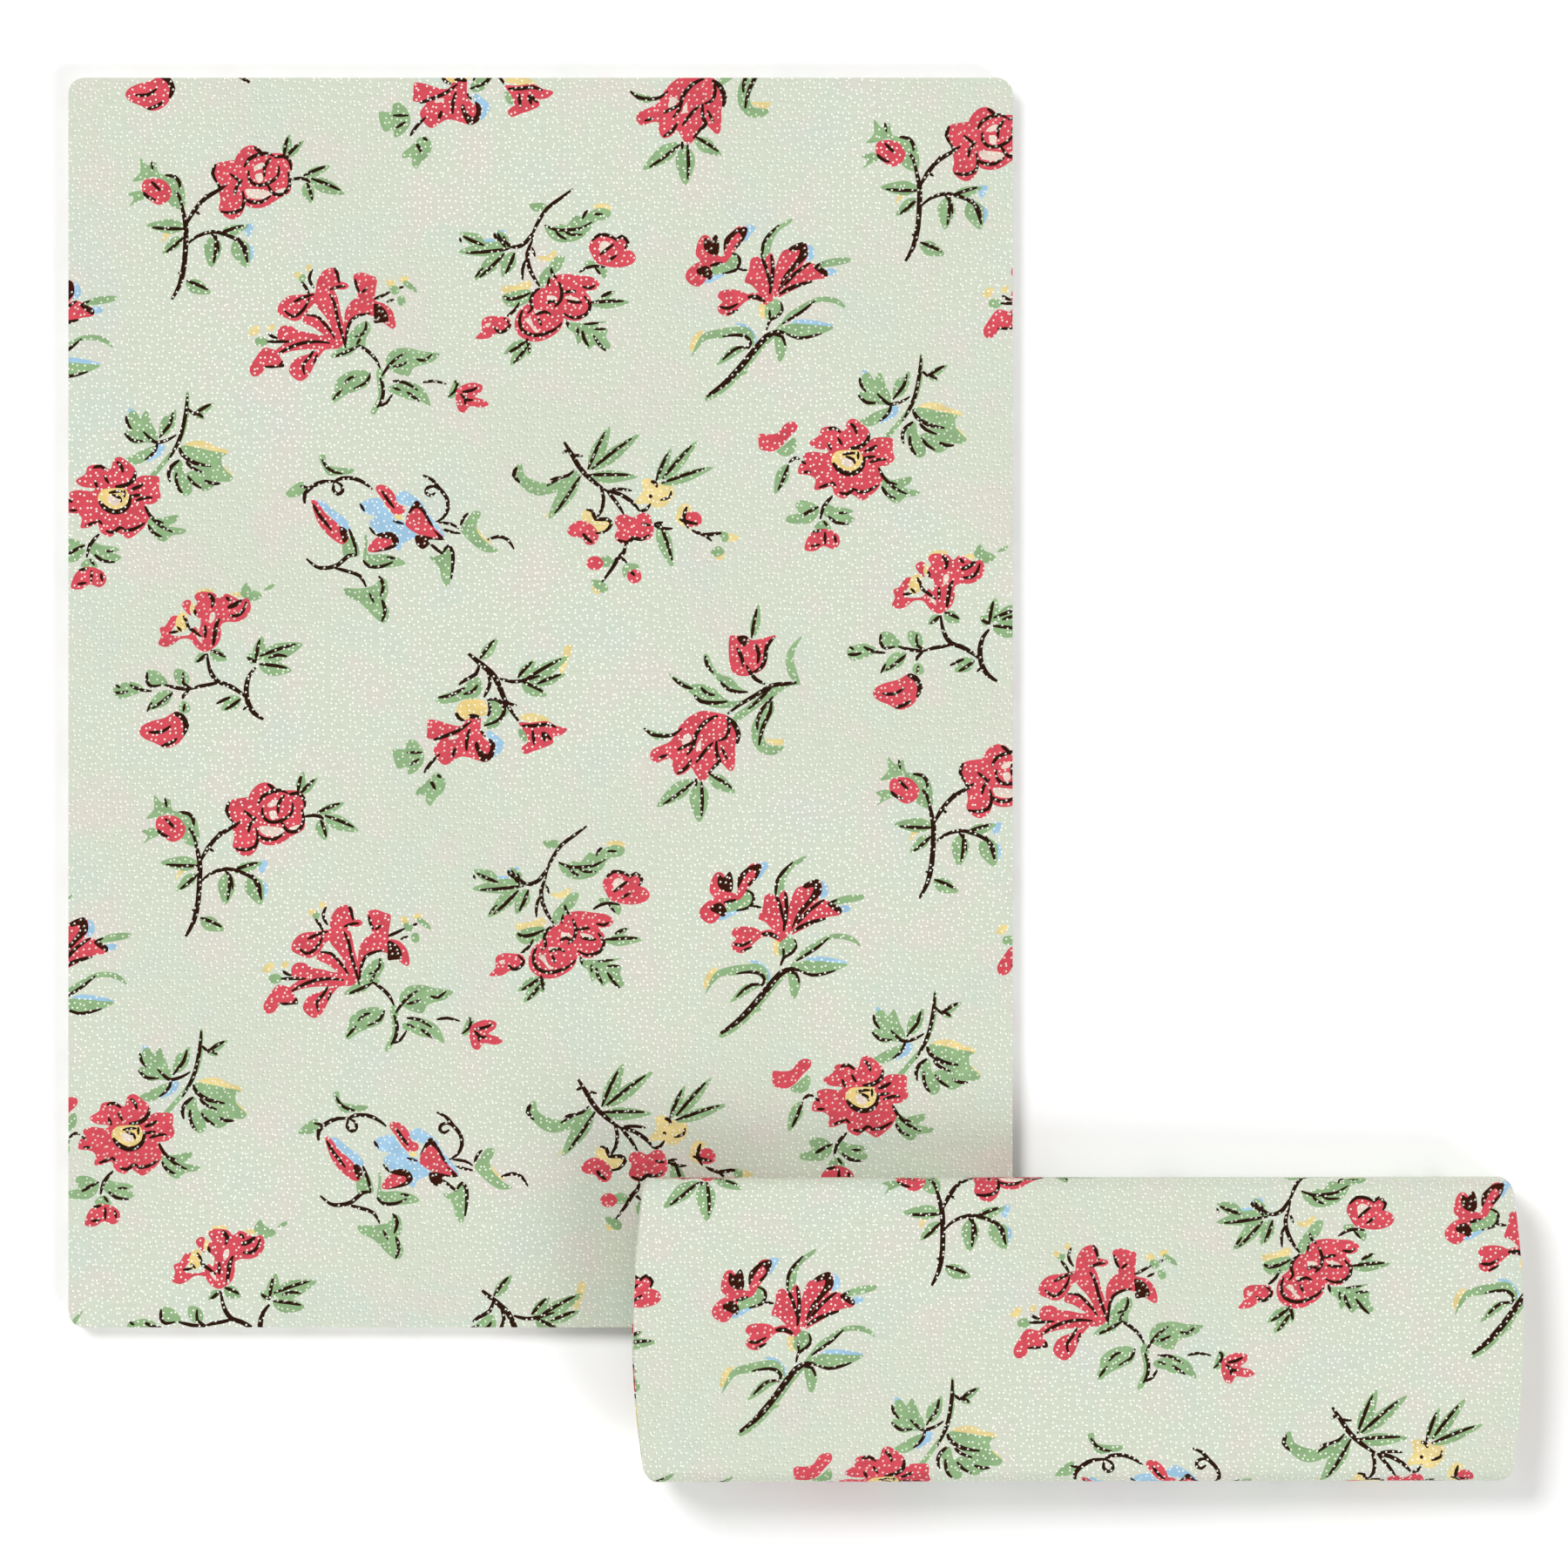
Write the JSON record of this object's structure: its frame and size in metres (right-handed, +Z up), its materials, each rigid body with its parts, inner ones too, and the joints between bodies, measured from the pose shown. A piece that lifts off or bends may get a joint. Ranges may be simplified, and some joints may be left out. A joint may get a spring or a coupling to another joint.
{
  "type": "fabric bolt",
  "caption": "Bolt of doubled floral cotton wound on a flat corrugated board, leaning on a flat-folded length of the same cloth.",
  "frame": {"origin": "centre of the overall footprint, on the table", "axes": "+X runs along the bolt, +Y from the bolt towards the far end of the folded length, +Z up"},
  "size_m": [0.9232, 0.8902, 0.0611],
  "materials": {
    "printed_cotton": "matt plain weave, pale sage ground with red, green, yellow and brown sprigs and small cream dots",
    "kraft_liner": "matt brown kraft paper",
    "fluting_paper": "matt brown paper, waved",
    "plain_board": "matt brown board",
    "label_paper": "matt off-white paper"
  },
  "bodies": {
    "stack": {"folded_length": "printed_cotton"},
    "bolt": {"wound_cloth": "printed_cotton"},
    "loose_end": {"loose_end": "printed_cotton"},
    "core": {"board_outer_liner": "kraft_liner", "board_fluting": "fluting_paper", "board_inner_liner": "kraft_liner", "spacer_ribs": "plain_board"},
    "left_tab": {"left_end_tab": "plain_board", "end_label": "label_paper"},
    "right_tab": {"right_end_tab": "plain_board"}
  },
  "joints": [
    {"name": "bolt_lift", "type": "slide", "parent": "stack", "child": "bolt", "axis": [0, 0, 1], "range_m": [0, 0.25]},
    {"name": "loose_end_hinge", "type": "hinge", "parent": "bolt", "child": "loose_end", "pos_m": [0.17984, -0.26885, 0.0505], "axis": [-0.9993, 0, 0.0376], "range_deg": [0, 170]},
    {"name": "core_slide", "type": "slide", "parent": "bolt", "child": "core", "axis": [-0.9993, 0, 0.0376], "range_m": [0, 0.56]},
    {"name": "left_tab_hinge", "type": "hinge", "parent": "core", "child": "left_tab", "pos_m": [-0.09448, -0.34885, 0.04732], "axis": [0, 1, 0], "range_deg": [0, 85]},
    {"name": "right_tab_hinge", "type": "hinge", "parent": "core", "child": "right_tab", "pos_m": [0.45313, -0.34885, 0.02669], "axis": [0, -1, 0], "range_deg": [0, 85]}
  ]
}
